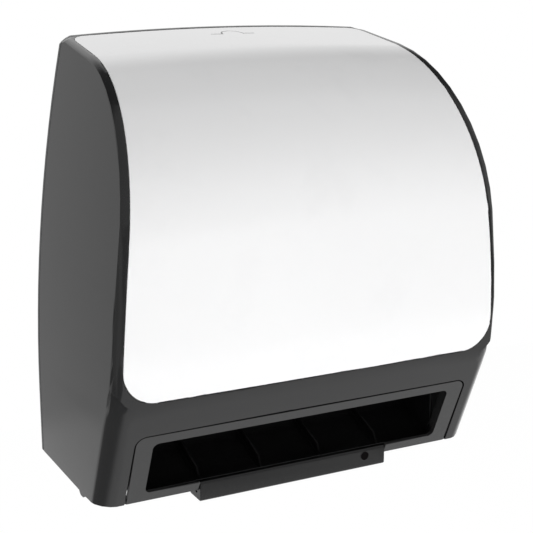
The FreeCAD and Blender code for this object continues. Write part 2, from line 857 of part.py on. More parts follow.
def frameProfile():
    back = motorAxis[0] - motorRadius - 1.5
    lobe = motorAxis[1] + motorRadius + 1.5
    top = carrierAxis[1] + 5.0
    clear = 6.0
    low = floorWall + seat
    kneeZ = 52.0
    return [
        (frameRear, low), (onLine(low)[0] - clear, low), (onLine(kneeZ)[0] - clear, kneeZ),
        (carrierAxis[0] + 6.0, carrierAxis[1]), (carrierAxis[0] + 6.0, top), (carrierAxis[0] - 6.0, top),
        (pinchAxis[0] - 12.0, frameTop), (motorAxis[0] + motorRadius + 4, frameTop),
        (motorAxis[0] + motorRadius - 2, lobe), (back, lobe), (back, motorAxis[1] - motorRadius - 1.5),
        (frameRear, motorAxis[1] - motorRadius - 8),
    ]


def driveFrame():
    right = plateX(frameProfile(), frameInner, frameInner + frameWall)
    low = floorWall + seat
    wall = block(-frameInner - 1, frameInner + 1, frameRear, frameRear + 2.5, low, frameTop)
    rail = block(-frameInner - 1, frameInner + 1, frameRear, frameRear + 14, frameTop - 2.5, frameTop)
    foot = block(frameInner - 8, frameInner + 1, boxFront + 1.0, frameRear + 2, low, low + 2.4)
    parts = pair(right) + [wall, rail] + pair(foot)
    for x in (-8.0, 98.0):
        parts.append(block(x - 3, x + 3, frameRear - boardSpace + seat, frameRear + 1, 56.0, 90.0))
    _, (f0, f1) = gearPlanes()
    parts.append(rodX(idlerPin / 2, f0 - 1.0, -frameInner - 1, *idlerAxis))
    body = fuse(parts)
    far = frameInner + frameWall + 1
    cuts = [rodX(bushRadius, -far, far, *feedAxis)]
    cuts.append(rodX(carrierPin + runFit, -far, far, *carrierAxis))
    cuts.append(rodX(3.0, -far, -frameInner + 1, *motorAxis))
    cuts.append(rodX(motorRadius + 0.4, -frameInner, -frameInner + motorLength + 3, *motorAxis))
    d = frameRear + 8
    cuts.append(block(buttonX - 3.2, buttonX + 3.2, d - 3.2, d + 3.2, frameTop - 4, frameTop + 1))
    return body.cut(cuts)


def rollerBushes():
    far = frameInner + frameWall
    return pair(tubeX(bushRadius - 0.02, feedShaft / 2 + runFit, frameInner - 0.4, far + 0.4, *feedAxis))


def sleevePlaces():
    return [-sleevePitch / 2, sleevePitch / 2]


def feedShaftRod():
    end = frameInner + frameWall + 2.0
    gearEnd = frameInner + frameWall + gearStep + gearWidth + 0.3
    return rodX(feedShaft / 2, -gearEnd, end, *feedAxis)


def feedCore():
    half = frameInner - 3.2
    return tubeX(feedCoreRadius, feedShaft / 2 + runFit, -half, half, *feedAxis)


def feedSleeves():
    half = sleeveWidth / 2
    return [tubeX(feedRadius, feedCoreRadius + runFit, x - half, x + half, *feedAxis) for x in sleevePlaces()]


def pinchCarrier():
    half = frameInner - 1.5
    d, z = carrierAxis
    px, pz = pinchAxis
    rear = px + pinchRadius + guideGap
    back = block(-half + 2, half - 2, rear, rear + 2, pz - 7, z + 2)
    cheek = plateX([(px - 4, pz - 4), (px + 4, pz - 5), (rear + 2, pz - 5), (d + 4, z - 2), (d + 4, z + 3),
                    (d - 3, z + 4), (px - 4, pz + 5)], half - 2, half)
    stub = rodX(carrierPin, half - 1, frameInner + frameWall, d, z)
    body = fuse([back] + pair(cheek) + pair(stub))
    return body.cut(rodX(pinchShaft / 2 + runFit, -half - 1, half + 1, *pinchAxis))


def pinchRoller():
    half = frameInner - 1.5
    roller = half - 4.0
    return fuse([rodX(pinchShaft / 2, -half, half, *pinchAxis), rodX(pinchRadius, -roller, roller, *pinchAxis)])


def gear(teeth, x0, x1, place, turn, bore):
    pitch = gearModule * teeth / 2
    tip = pitch + 0.9 * gearModule
    root = pitch - 1.2 * gearModule
    rootHalf = toothRoot * gearModule / root
    tipHalf = toothTip * gearModule / tip
    corners = []
    for i in range(teeth):
        middle = turn + 2 * math.pi * i / teeth
        corners.append(polar(place, root, middle - rootHalf))
        corners.append(polar(place, tip, middle - tipHalf))
        corners.append(polar(place, tip, middle + tipHalf))
        corners.append(polar(place, root, middle + rootHalf))
    return plateX(corners, x0, x1).cut(rodX(bore, x0 - 1, x1 + 1, *place))


def gearPlanes():
    # the two gear planes on the left of the frame, as (outer, inner) X values
    near = -(frameInner + frameWall + gearStep)
    return (near - gearWidth, near), (near - 2 * gearWidth - gearStep, near - gearWidth - gearStep)


def rollerGear():
    (x0, x1), _ = gearPlanes()
    return gear(rollerTeeth, x0, x1, feedAxis, train, feedShaft / 2 + runFit)


def idlerGear():
    (n0, n1), (f0, f1) = gearPlanes()
    turn = train + math.pi + math.pi / idlerSmallTeeth
    small = gear(idlerSmallTeeth, n0 - gearStep, n1, idlerAxis, turn, idlerPin / 2 + runFit)
    large = gear(idlerLargeTeeth, f0, f1, idlerAxis, train, idlerPin / 2 + runFit)
    return small.fuse(large)


def motorPinion():
    _, (f0, f1) = gearPlanes()
    turn = train + math.pi + math.pi / pinionTeeth
    return gear(pinionTeeth, f0, f1, motorAxis, turn, motorShaft / 2 + runFit)


def motorBody():
    face = -frameInner + seat
    can = rodX(motorRadius, face, face + motorLength, *motorAxis)
    tail = rodX(4.0, face + motorLength - 1, face + motorLength + 2, *motorAxis)
    bore = rodX(motorShaft / 2 + runFit, face - 1, face + motorGrip + 1, *motorAxis)
    return fuse([can, tail]).cut(bore)


def motorShaftRod():
    _, (f0, f1) = gearPlanes()
    return rodX(motorShaft / 2, f0 - 0.8, -frameInner + motorGrip, *motorAxis)


def batteryBox():
    low = floorWall + seat
    body = block(-boxHalf, boxHalf, boxRear, boxFront, low, boxTop)
    inside = block(-boxInside, boxInside, boxRear + boxWall, boxFront - boxWall, low + boxWall, boxTop + 1)
    body = body.cut(inside)
    # cradle ribs that follow the cells
    cradle = cellRadius + 0.3
    for i in range(cellCount):
        x = (i + 0.5 - cellCount / 2) * cellLength
        saddle = block(x - 0.9, x + 0.9, boxRear + 1, boxFront - 1, low + 1, low + 11)
        body = body.fuse(saddle.cut(rodX(cradle, x - 2, x + 2, cellDepth, cellHeight)))
    ear = block(boxHalf - 1, boxHalf + 2.2, boxRear, lidAxis[0] + 3.2, boxTop - 12, lidAxis[1] + 3.2)
    keep = block(-boxHalf, boxHalf, boxRear - 1, boxFront + 1, boxTop, boxTop + 10)
    swing = block(-boxHalf, boxHalf, boxRear - 1, lidAxis[0] + 2, boxTop - 0.6, boxTop + 10)
    body = fuse([body] + pair(ear)).cut([keep, swing])
    return body.cut(rodX(lidPin + runFit, -boxHalf - 5, boxHalf + 5, *lidAxis))


def batteryCells():
    cells = []
    for i in range(cellCount):
        x0 = -cellCount * cellLength / 2 + i * cellLength
        cells.append(rodX(cellRadius, x0 + seat, x0 + cellLength - seat, cellDepth, cellHeight))
    return cells


def batteryContacts():
    # a flat plate with a bent leaf that presses on the end cell
    far = cellCount * cellLength / 2 + 0.2
    outline = [(boxInside, 9.0), (boxInside, -9.0), (boxInside - 0.6, -9.0), (far, 0.0), (far, 2.0),
               (boxInside - 0.9, -6.0), (boxInside - 0.9, 9.0)]
    corners = [V(x, 0, z) for x, z in outline]
    leaf = Part.Face(Part.makePolygon(corners + corners[:1])).extrude(V(0, 16, 0))
    leaf.translate(V(0, -cellDepth - 8, cellHeight))
    return pair(leaf)


def batteryDoor():
    low = boxTop + seat
    half = boxHalf - 0.2
    lid = block(-half, half, lidAxis[0] - 1.0, boxFront, low, low + lidWall)
    grip = block(-12, 12, boxFront - 1, boxFront + 3.0, low, low + lidWall)
    catch = block(-8, 8, boxFront + 0.3, boxFront + 1.5, low - 4, low + 0.5)
    pin = rodX(lidPin, boxHalf - 4, boxHalf + 2.2, *lidAxis)
    return fuse([lid, grip, catch] + pair(pin))


def controlBoard():
    rear = frameRear - boardSpace - boardWall
    board = block(-12.0, 102.0, rear, rear + boardWall, 52.0, 94.0)
    chip = block(10.0, 24.0, rear - 3.0, rear + 0.1, 66.0, 80.0)
    relay = block(60.0, 84.0, rear - 7.0, rear + 0.1, 58.0, 68.0)
    return fuse([board, chip, relay])


def feedButton():
    d = frameRear + 8
    gap = buttonTravel + 0.3
    half = buttonHalf
    cap = block(buttonX - half, buttonX + half, d - half + 1, d + half, frameTop + gap, frameTop + gap + 2.4)
    stem = block(buttonX - 3, buttonX + 3, d - 3, d + 3, frameTop - 6.0, frameTop + gap + 1)
    return fuse([cap, stem])


def feedSwitch():
    d = frameRear + 8
    top = frameTop - 6.0 - buttonTravel - 0.3
    return block(buttonX - 6, buttonX + 6, frameRear + 2.5 + seat, d + 6, top - 7, top)


def armProfile(root):
    # tapering side view from the foot at depth root to the round end at the roll's axis
    centre = (rollDepth, rollHeight)
    spread = math.atan2(armFootHalf - armTipRadius, rollDepth - root)
    top = polar(centre, armTipRadius, math.pi / 2 - spread)
    low = polar(centre, armTipRadius, spread - math.pi / 2)
    tip = (rollDepth + armTipRadius, rollHeight)
    return [
        line(point(root, rollHeight - armFootHalf), point(*low)),
        arc(point(*low), point(*tip), point(*top)),
        line(point(*top), point(root, rollHeight + armFootHalf)),
        line(point(root, rollHeight + armFootHalf), point(root, rollHeight - armFootHalf)),
    ]


def armPlate(root):
    face = Part.Face(Part.Wire(armProfile(root)))
    face.translate(V(armInner, 0, 0))
    plate = face.extrude(V(armWall, 0, 0))
    window = plateX([(root + 14, rollHeight - 9), (root + 46, rollHeight - 6),
                     (root + 46, rollHeight + 6), (root + 14, rollHeight + 9)], armInner - 1, armInner + armWall + 1)
    return plate.cut([window, rodX(hubPin / 2 + runFit, 0, bodyWidth, rollDepth, rollHeight)])


def rollArmLeft():
    root = flangeWall + seat
    foot = block(armInner, armInner + 20, root, root + 3.0, rollHeight - armFootHalf, rollHeight + armFootHalf)
    rib = block(armInner + 1, armInner + armWall + 3, root, root + 40, rollHeight - 2, rollHeight + 2)
    return mirrored(fuse([armPlate(root), foot, rib]))


def armHinge():
    # the upright hinge of the right arm: X and depth
    return (armInner + 4.5, flangeWall + 7.5)


def rollArmRight():
    x, d = armHinge()
    barrel = rodZ(4.0, rollHeight - armBarrel, rollHeight + armBarrel, x, d)
    high = block(0, bodyWidth, 0, d + 6.5, rollHeight + armBarrel, rollHeight + 40)
    low = block(0, bodyWidth, 0, d + 6.5, rollHeight - 40, rollHeight - armBarrel)
    body = fuse([armPlate(d).cut([high, low]), barrel])
    return body.cut(rodZ(armPinRadius + runFit, 0, sideTop, x, d))


def armFootRight():
    x, d = armHinge()
    root = flangeWall + seat
    foot = block(armInner - 1, armInner + 20, root, root + 2.4, rollHeight - armFootHalf, rollHeight + armFootHalf)
    gap = armBarrel + 0.3
    parts = [foot]
    parts.append(block(x - 4.0, x + 4.0, root, d + 4.0, rollHeight + gap, rollHeight + armFootHalf))
    parts.append(block(x - 4.0, x + 4.0, root, d + 4.0, rollHeight - armFootHalf, rollHeight - gap))
    return fuse(parts).cut(rodZ(armPinRadius, 0, sideTop, x, d))


def armPin():
    x, d = armHinge()
    return rodZ(armPinRadius - 0.02, rollHeight - armFootHalf, rollHeight + armFootHalf, x, d)


def rollHub(side):
    # a nose that enters the roll's core, with a flange and a journal in the arm
    end = rollWidth / 2
    nose = rodX(coreRadius - 0.5, end - hubNose, end + 0.5, rollDepth, rollHeight)
    flange = rodX(coreRadius + 4, end, end + hubFlange, rollDepth, rollHeight)
    journal = rodX(hubPin / 2, end + hubFlange - 0.5, armInner + armWall + 0.5, rollDepth, rollHeight)
    body = fuse([nose, flange, journal])
    return body if side > 0 else mirrored(body)


def save(name, shapes):
    if not isinstance(shapes, list):
        shapes = [shapes]
    solids = [solid for shape in shapes for solid in shape.Solids]
    group = Part.makeCompound(solids)
    valid = all(solid.isValid() for solid in solids)
    group.translate(V(0, 0, -screwMidHeight))
    group.exportStep("parts/" + name + ".step")
    print(name, len(solids), "solids", round(group.Volume), "mm3", "" if valid else "NOT VALID")


nodes = {
    "rear_housing": rearHousing,
    "cover_shell": coverShell,
    "front_panel": frontPanel,
    "lock_strike": lockStrike,
    "hinge_pins": hingePins,
    "lock_guide": lockGuide,
    "lock_bolt": lockBolt,
    "throat_bezel": throatBezel,
    "paper_chute": paperChute,
    "front_guide": frontGuide,
    "tear_blade": tearBlade,
    "sensor_bar": sensorBar,
    "sensor_lens": sensorLens,
    "proximity_sensor": proximitySensor,
    "sensor_board": sensorBoard,
    "drive_frame": driveFrame,
    "roller_bushes": rollerBushes,
    "feed_shaft": feedShaftRod,
    "feed_core": feedCore,
    "feed_sleeves": feedSleeves,
    "pinch_carrier": pinchCarrier,
    "pinch_roller": pinchRoller,
    "roller_gear": rollerGear,
    "idler_gear": idlerGear,
    "motor_pinion": motorPinion,
    "motor_shaft": motorShaftRod,
    "motor_body": motorBody,
    "battery_box": batteryBox,
    "battery_cells": batteryCells,
    "battery_contacts": batteryContacts,
    "battery_door": batteryDoor,
    "control_board": controlBoard,
    "feed_button": feedButton,
    "feed_switch": feedSwitch,
    "roll_arm_left": rollArmLeft,
    "roll_arm_right": rollArmRight,
    "arm_foot_right": armFootRight,
    "arm_pin": armPin,
    "roll_hub_left": lambda: rollHub(-1),
    "roll_hub_right": lambda: rollHub(1),
}

os.makedirs("parts", exist_ok=True)
for name, make in nodes.items():
    save(name, make())
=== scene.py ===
import json
import math

import bmesh
import bpy
from mathutils import Matrix, Vector
from mathutils.bvhtree import BVHTree


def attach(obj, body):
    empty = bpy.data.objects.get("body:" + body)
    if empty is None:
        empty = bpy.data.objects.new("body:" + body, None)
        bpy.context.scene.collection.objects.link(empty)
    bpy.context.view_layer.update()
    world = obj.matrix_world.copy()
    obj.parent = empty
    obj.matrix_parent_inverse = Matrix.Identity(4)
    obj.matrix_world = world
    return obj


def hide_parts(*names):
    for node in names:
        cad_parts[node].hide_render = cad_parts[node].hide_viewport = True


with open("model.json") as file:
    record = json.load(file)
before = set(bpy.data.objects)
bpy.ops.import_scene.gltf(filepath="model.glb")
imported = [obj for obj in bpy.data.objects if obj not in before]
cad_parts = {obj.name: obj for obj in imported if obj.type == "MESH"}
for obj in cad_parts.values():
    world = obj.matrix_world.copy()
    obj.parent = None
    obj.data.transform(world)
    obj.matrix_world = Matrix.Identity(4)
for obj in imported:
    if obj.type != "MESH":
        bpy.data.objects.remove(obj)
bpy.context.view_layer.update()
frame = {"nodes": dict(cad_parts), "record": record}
nodes = frame["nodes"]
print("frame loaded,", len(nodes), "nodes")

# Heights in this file are from the flat underside unless a note says otherwise; the frame's zero is
# underZero above it. X runs to the right, depth forward from the wall.
underZero = 0.187


def place(x, depth, height):
    return Vector((x, -depth, height - underZero))


# Camera, solved from the straight edges in the photograph
cameraSetup = {
    "where": (-0.407, -0.867, 0.173),
    "turn": 27.29,      # degrees to the right of straight at the wall
    "drop": 13.89,      # degrees below level
    "lens": 86.05,
}


def makeCamera(setup):
    data = bpy.data.cameras.new("photoCamera")
    camera = bpy.data.objects.new("photoCamera", data)
    bpy.context.scene.collection.objects.link(camera)
    turn, drop = math.radians(setup["turn"]), math.radians(setup["drop"])
    aim = Vector((math.sin(turn) * math.cos(drop), math.cos(turn) * math.cos(drop), -math.sin(drop)))
    camera.location = setup["where"]
    camera.rotation_mode = "QUATERNION"
    camera.rotation_quaternion = aim.to_track_quat("-Z", "Y")
    data.sensor_width = 36.0
    data.lens = setup["lens"]
    data.clip_start, data.clip_end = 0.05, 30.0
    bpy.context.scene.camera = camera
    return camera


makeCamera(cameraSetup)
print("camera set")


class Wire:
    # one shader socket; sums and products of wires add their Math nodes
    def __init__(self, tree, socket):
        self.tree = tree
        self.socket = socket

    def node(self, kind, settings=None, inputs=None, output=0):
        made = self.tree.nodes.new(kind)
        for name, value in (settings or {}).items():
            if name == "stops":
                ramp = made.color_ramp
                for spot, _ in value[1:-1]:
                    ramp.elements.new(spot)
                ramp.elements[0].position = value[0][0]
                ramp.elements[-1].position = value[-1][0]
                for element, (_, tone) in zip(ramp.elements, value):
                    element.color = (*tone, 1.0)
            else:
                setattr(made, name, value)
        for name, value in (inputs or {}).items():
            if isinstance(value, Wire):
                self.tree.links.new(value.socket, made.inputs[name])
            else:
                made.inputs[name].default_value = value
        return Wire(self.tree, made.outputs[output])

    def math(self, operation, first, second=0.0):
        return self.node("ShaderNodeMath", {"operation": operation}, {0: first, 1: second})

    def __add__(self, other):
        return self.math("ADD", self, other)

    def __radd__(self, other):
        return self.math("ADD", other, self)

    def __sub__(self, other):
        return self.math("SUBTRACT", self, other)

    def __rsub__(self, other):
        return self.math("SUBTRACT", other, self)

    def __mul__(self, other):
        return self.math("MULTIPLY", self, other)

    def __truediv__(self, other):
        return self.math("DIVIDE", self, other)

    def __gt__(self, other):
        return self.math("GREATER_THAN", self, other)

    def __lt__(self, other):
        return self.math("LESS_THAN", self, other)

    def __abs__(self):
        return self.math("ABSOLUTE", self)

    def ramp(self, low, high, fromLow=0.0, fromHigh=1.0):
        return self.node("ShaderNodeMapRange", {"interpolation_type": "SMOOTHSTEP"}, {
            "Value": self, "From Min": fromLow, "From Max": fromHigh, "To Min": low, "To Max": high})

    def noise(self, scale, detail=3.0, roughness=0.5):
        return self.node("ShaderNodeTexNoise", None, {
            "Vector": self, "Scale": scale, "Detail": detail, "Roughness": roughness})

    def cells(self, scale):
        return self.node("ShaderNodeTexVoronoi", None, {"Vector": self, "Scale": scale})

    def stretched(self, x, y, z):
        return self.node("ShaderNodeMapping", None, {"Vector": self, "Scale": (x, y, z)})

    def part(self, axis):
        return self.node("ShaderNodeSeparateXYZ", None, {0: self}, "XYZ".index(axis))

    def blend(self, first, second):
        # two colours, mixed by this value
        return self.node("ShaderNodeMix", {"data_type": "RGBA"}, {0: self, 6: first, 7: second}, 2)


def tone(colour, share=1.0):
    return (colour[0] * share, colour[1] * share, colour[2] * share, 1.0)


def newMaterial(name):
    made = bpy.data.materials.new(name)
    made.use_nodes = True
    tree = made.node_tree
    shader = tree.nodes["Principled BSDF"]
    start = Wire(tree, tree.nodes.new("ShaderNodeTexCoord").outputs["Object"])
    return made, shader, start


def feed(shader, wires):
    for name, value in wires.items():
        if isinstance(value, Wire):
            value.tree.links.new(value.socket, shader.inputs[name])
        else:
            shader.inputs[name].default_value = value


def bumped(height, distance, strength=1.0):
    return height.node("ShaderNodeBump", None, {
        "Height": height, "Distance": distance, "Strength": strength})


# Finishes of the moulded plastics
plasticFinishes = {
    # colour, roughness, its spread, grain per metre, grain height in metres, mottle
    "cover_graphite": ((0.0135, 0.0136, 0.0140), 0.13, 0.05, 1900.0, 0.000012, 0.05),
    "housing_graphite": ((0.11, 0.111, 0.112), 0.36, 0.07, 1500.0, 0.00002, 0.07),
    "bezel_graphite": ((0.027, 0.0272, 0.0276), 0.20, 0.06, 1900.0, 0.000012, 0.05),
    "bar_graphite": ((0.008, 0.0081, 0.0083), 0.26, 0.06, 1900.0, 0.000012, 0.05),
    "chute_black": ((0.0080, 0.0080, 0.0083), 0.21, 0.08, 1500.0, 0.00002, 0.10),
    "frame_black": ((0.018, 0.018, 0.019), 0.48, 0.08, 1400.0, 0.00003, 0.10),
    "core_grey": ((0.26, 0.265, 0.27), 0.45, 0.08, 1200.0, 0.00002, 0.05),
    "acetal_white": ((0.78, 0.77, 0.73), 0.36, 0.06, 1000.0, 0.00001, 0.03),
    "switch_black": ((0.016, 0.016, 0.017), 0.40, 0.06, 2000.0, 0.00001, 0.05),
    "button_grey": ((0.42, 0.44, 0.46), 0.38, 0.06, 2200.0, 0.00001, 0.04),
    "arm_grey": ((0.36, 0.37, 0.38), 0.44, 0.07, 1300.0, 0.00002, 0.05),
}


def mouldedPlastic(name, colour, rough, spread, grain, depth, mottle):
    # injection-moulded plastic: fine spark grain, faint flow mottle, handling marks in the gloss
    made, shader, start = newMaterial(name)
    flow = start.stretched(1.0, 1.0, 0.45).noise(28.0, 4.0, 0.55)
    speck = start.noise(420.0, 2.0)
    dust = start.noise(90.0, 5.0, 0.65).ramp(0.0, 1.0, 0.55, 0.8)
    shade = (flow * 0.75 + speck * 0.25).ramp(0.0, 1.0, 0.3, 0.7)
    grainCells = start.cells(grain).ramp(0.0, 1.0, 0.1, 0.75)
    grainHeight = grainCells * 0.7 + start.noise(grain * 1.7, 2.0) * 0.3
    mottled = shade.blend(tone(colour, 1.0 - mottle), tone(colour, 1.0 + mottle))
    lift = tone([c + (0.5 - c) * mottle * 0.12 for c in colour])
    feed(shader, {
        "Base Color": (dust * 0.5).blend(mottled, lift),
        "Roughness": rough - spread + (flow * 0.5 + dust * 0.8) * (2.0 * spread),
        "Normal": bumped(grainHeight, depth),
        "IOR": 1.5,
    })
    return made


def glossPanel(name):
    # polished white plastic: clear gloss, the faintest orange peel and wiping marks
    made, shader, start = newMaterial(name)
    wipe = start.stretched(1.0, 1.0, 6.0).noise(14.0, 5.0, 0.6)
    smudge = start.noise(22.0, 4.0, 0.6).ramp(0.0, 1.0, 0.5, 0.75)
    peel = start.noise(160.0, 1.0)
    feed(shader, {
        "Base Color": smudge.blend(tone((0.865, 0.865, 0.868)), tone((0.855, 0.855, 0.858))),
        "Roughness": 0.10 + wipe * 0.05 + smudge * 0.05,
        "Normal": bumped(peel, 0.00001, 0.5),
        "Coat Weight": 0.35 + smudge * 0.2,
        "Coat Roughness": 0.04,
        "IOR": 1.5,
    })
    return made


def darkLens(name):
    # smoked window that only infrared light passes
    made, shader, start = newMaterial(name)
    haze = start.noise(700.0, 3.0)
    feed(shader, {
        "Base Color": haze.blend(tone((0.0010, 0.0008, 0.0009)), tone((0.0030, 0.0020, 0.0022))),
        "Roughness": 0.10 + haze * 0.06,
        "Normal": bumped(start.noise(300.0, 1.0), 0.00001, 0.5),
        "IOR": 1.12,
    })
    return made


def turnedSteel(name, colour, rough, alongX):
    # ground bar or brushed strip: fine lines round or along the length
    made, shader, start = newMaterial(name)
    drawn = start.stretched(60.0, 1.0, 1.0) if alongX else start.stretched(1.0, 60.0, 60.0)
    lines = drawn.noise(70.0, 4.0, 0.7)
    stain = start.noise(60.0, 4.0, 0.6).ramp(0.0, 1.0, 0.45, 0.75)
    feed(shader, {
        "Base Color": (stain * 0.6).blend(tone(colour), tone(colour, 0.72)),
        "Metallic": 1.0,
        "Roughness": rough + lines * 0.14 + stain * 0.12,
        "Normal": bumped(lines, 0.000015, 0.6),
    })
    return made


def rubberSleeve(name):
    # ground rubber with fine grip grooves that run along the roller
    made, shader, start = newMaterial(name)
    grit = start.noise(2600.0, 3.0, 0.7)
    bloom = start.noise(70.0, 5.0, 0.6).ramp(0.0, 1.0, 0.45, 0.75)
    feed(shader, {
        "Base Color": (bloom * 0.6).blend(tone((0.022, 0.022, 0.023)), tone((0.06, 0.059, 0.057))),
        "Roughness": 0.72 + grit * 0.16,
        "Normal": bumped(grit, 0.00006),
    })
    return made


def platedCan(name):
    made, shader, start = newMaterial(name)
    draw = start.stretched(1.0, 8.0, 8.0).noise(60.0, 4.0, 0.6)
    spot = start.noise(140.0, 4.0, 0.6).ramp(0.0, 1.0, 0.5, 0.75)
    feed(shader, {
        "Base Color": spot.blend(tone((0.56, 0.56, 0.55)), tone((0.42, 0.42, 0.41))),
        "Metallic": 1.0,
        "Roughness": 0.26 + draw * 0.16 + spot * 0.1,
        "Normal": bumped(draw, 0.00001, 0.5),
    })
    return made


# Cells in a row; the shares of a cell's length at which its band and its bare steel start and end
cellPitch, cellCount = 0.0615, 4
cellShares = {"band": 0.70, "bareTop": 0.957, "bareBase": 0.012}


def cellWrap(name, shares=cellShares):
    # plain shrink wrap: dark body with a warm band at one end of each cell, bare steel at the very ends
    made, shader, start = newMaterial(name)
    along = start.part("X") / cellPitch + cellCount / 2
    within = along - along.math("FLOOR", along)
    band = within > shares["band"]
    bare = (within > shares["bareTop"]) + (within < shares["bareBase"])
    film = start.stretched(3.0, 1.0, 1.0).noise(120.0, 4.0, 0.6)
    wrapTone = band.blend(tone((0.016, 0.017, 0.019)), tone((0.36, 0.17, 0.055)))
    feed(shader, {
        "Base Color": bare.blend(wrapTone, tone((0.55, 0.55, 0.53))),
        "Metallic": bare,
        "Roughness": 0.24 + film * 0.16,
        "Normal": bumped(film, 0.00002, 0.5),
    })
    return made


def circuitBoard(name):
    # solder resist over copper: tracks, pads and a bare margin
    made, shader, start = newMaterial(name)
    x, z = start.part("X"), start.part("Z")
    grid = start.stretched(1.0, 0.05, 1.0)
    blocks = grid.node("ShaderNodeTexVoronoi", {"distance": "CHEBYCHEV"}, {
        "Vector": grid, "Scale": 210.0}, 1)
    track = blocks.part("X") > 0.62
    copper = track * (x.math("SINE", (x + z) * 2600.0) > 0.35)
    dots = grid.cells(390.0) < 0.13
    film = start.noise(300.0, 3.0)
    resist = copper.blend(tone((0.008, 0.085, 0.035)), tone((0.018, 0.16, 0.065)))
    feed(shader, {
        "Base Color": dots.blend(resist, tone((0.62, 0.60, 0.52))),
        "Metallic": dots * 0.9,
        "Roughness": 0.30 + film * 0.14,
        "Normal": bumped(copper + dots, 0.00004, 0.7),
    })
    return made


def makeFinishes():
    made = {name: mouldedPlastic(name, *values) for name, values in plasticFinishes.items()}
    made["panel_white"] = glossPanel("panel_white")
    made["lens_smoke"] = darkLens("lens_smoke")
    made["steel"] = turnedSteel("steel", (0.58, 0.58, 0.57), 0.18, True)
    made["blade_steel"] = turnedSteel("blade_steel", (0.62, 0.62, 0.62), 0.16, False)
    made["contact_steel"] = turnedSteel("contact_steel", (0.70, 0.69, 0.66), 0.12, True)
    made["roller_rubber"] = rubberSleeve("roller_rubber")
    made["motor_can"] = platedCan("motor_can")
    made["cell_wrap"] = cellWrap("cell_wrap")
    made["board_green"] = circuitBoard("board_green")
    return made


finishes = makeFinishes()
slotOf = {part["node"]: part["material_slot"] for part in frame["record"]["subparts"]}
for name, node in nodes.items():
    node.data.materials.clear()
    node.data.materials.append(finishes[slotOf[name]])
print("finishes made,", len(finishes))


def newPiece(name, shape, body, slot, smoothTo=32.0, crisp=None):
    # a bmesh in the frame's own place becomes a piece on a body; edges sharper than smoothTo stay sharp
    for face in shape.faces:
        face.smooth = True
    for edge in shape.edges:
        edge.smooth = len(edge.link_faces) == 2 and edge.calc_face_angle() < math.radians(smoothTo)
        if crisp and edge.smooth and crisp(edge):
            edge.smooth = False
    mesh = bpy.data.meshes.new(name)
    shape.to_mesh(mesh)
    shape.free()
    mesh.materials.append(finishes[slot])
    piece = bpy.data.objects.new(name, mesh)
    bpy.context.scene.collection.objects.link(piece)
    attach(piece, body)
    return piece


# Every node's CAD shape is merged and its corners rounded, as a mould or a tumbled edge leaves them
edgeRounds = {
    # node: edge radius in metres
    "cover_shell": 0.0005, "front_panel": 0.0006, "rear_housing": 0.0004, "throat_bezel": 0.0006,
    "sensor_bar": 0.0006, "paper_chute": 0.0005, "front_guide": 0.0004, "lock_guide": 0.0003,
    "lock_bolt": 0.0003, "lock_strike": 0.0003, "drive_frame": 0.0004, "battery_box": 0.0004,
    "battery_door": 0.0005, "pinch_carrier": 0.0003, "feed_button": 0.0003, "feed_switch": 0.0002,
    "roll_arm_left": 0.0003, "roll_arm_right": 0.0006, "arm_foot_right": 0.0004,
    "roll_hub_left": 0.0004, "roll_hub_right": 0.0004,
    "hinge_pins": 0.0003, "tear_blade": 0.0001, "sensor_lens": 0.0003, "proximity_sensor": 0.0003,
    "sensor_board": 0.0002, "roller_bushes": 0.0003, "feed_shaft": 0.0004, "feed_core": 0.0004,
    "feed_sleeves": 0.0006, "roller_gear": 0.00015, "pinch_roller": 0.0005, "idler_gear": 0.00015,
    "motor_pinion": 0.00012, "motor_shaft": 0.0002, "motor_body": 0.0007, "battery_contacts": 0.0002,
    "control_board": 0.0002, "arm_pin": 0.0003,
}
weld = 0.000002
flatAngle, sharpAngle = math.radians(0.3), math.radians(40.0)
# an edge takes the rounding where, in edge radii, it is this long and the faces beside it this wide
roomLength, roomWidth = 1.5, 1.6
bevelBase = {"offset_type": "OFFSET", "affect": "EDGES", "profile": 0.5, "material": -1}


def bodyOf(name):
    bodies = frame["record"]["behaviour"]["bodies"]
    return next(body for body, members in bodies.items() if name in members)


def mergedCopy(name):
    shape = bmesh.new()
    shape.from_mesh(nodes[name].data)
    bmesh.ops.remove_doubles(shape, verts=shape.verts, dist=weld)
    bmesh.ops.dissolve_limit(
        shape, angle_limit=flatAngle, verts=shape.verts, edges=shape.edges, delimit=set())
    return shape


def pieceName(name):
    words = name.split("_")
    return words[0] + "".join(word.title() for word in words[1:])


def roomy(edge, radius):
    if len(edge.link_faces) != 2 or edge.calc_length() < roomLength * radius:
        return False
    if edge.calc_face_angle() < sharpAngle:
        return False
    least = roomWidth * radius
    return all(2.0 * face.calc_area() > least * face.calc_perimeter() for face in edge.link_faces)


coverRim = {
    "sideNormal": 0.965,    # faces turned further to the side than this are the side wall
    "frontNormal": 0.15,
    "from": (70.0, 120.0),  # heights over which the rim's extra round comes in
    "rear": (6.0, 16.0),    # depths over which it goes out again
    "extra": 0.0010,
    "atEdge": 0.75,         # share of it along the rim's own edges
    "halfInside": 0.1,      # the rim lies further out than this
    "backEdge": 0.0045,     # depth from the wall within which an outer edge is the cover's rear edge
    "backRound": 0.0007,
    "backFacing": 0.9, "backBeside": 0.5,   # normals of the two faces at the rear edge
}


def onRim(face, setup=coverRim):
    where = face.calc_center_median()
    outward = face.normal.x * where.x > 0.0
    above = where.z > setup["from"][0] / 1000.0 - underZero
    return outward and above and setup["frontNormal"] < abs(face.normal.x) < setup["sideNormal"]


def rimLine(edge):
    # the crisp line between the side wall and the rim
    rims = [onRim(face) for face in edge.link_faces]
    sides = [abs(face.normal.x) >= coverRim["sideNormal"] for face in edge.link_faces]
    return any(rims) and any(sides)


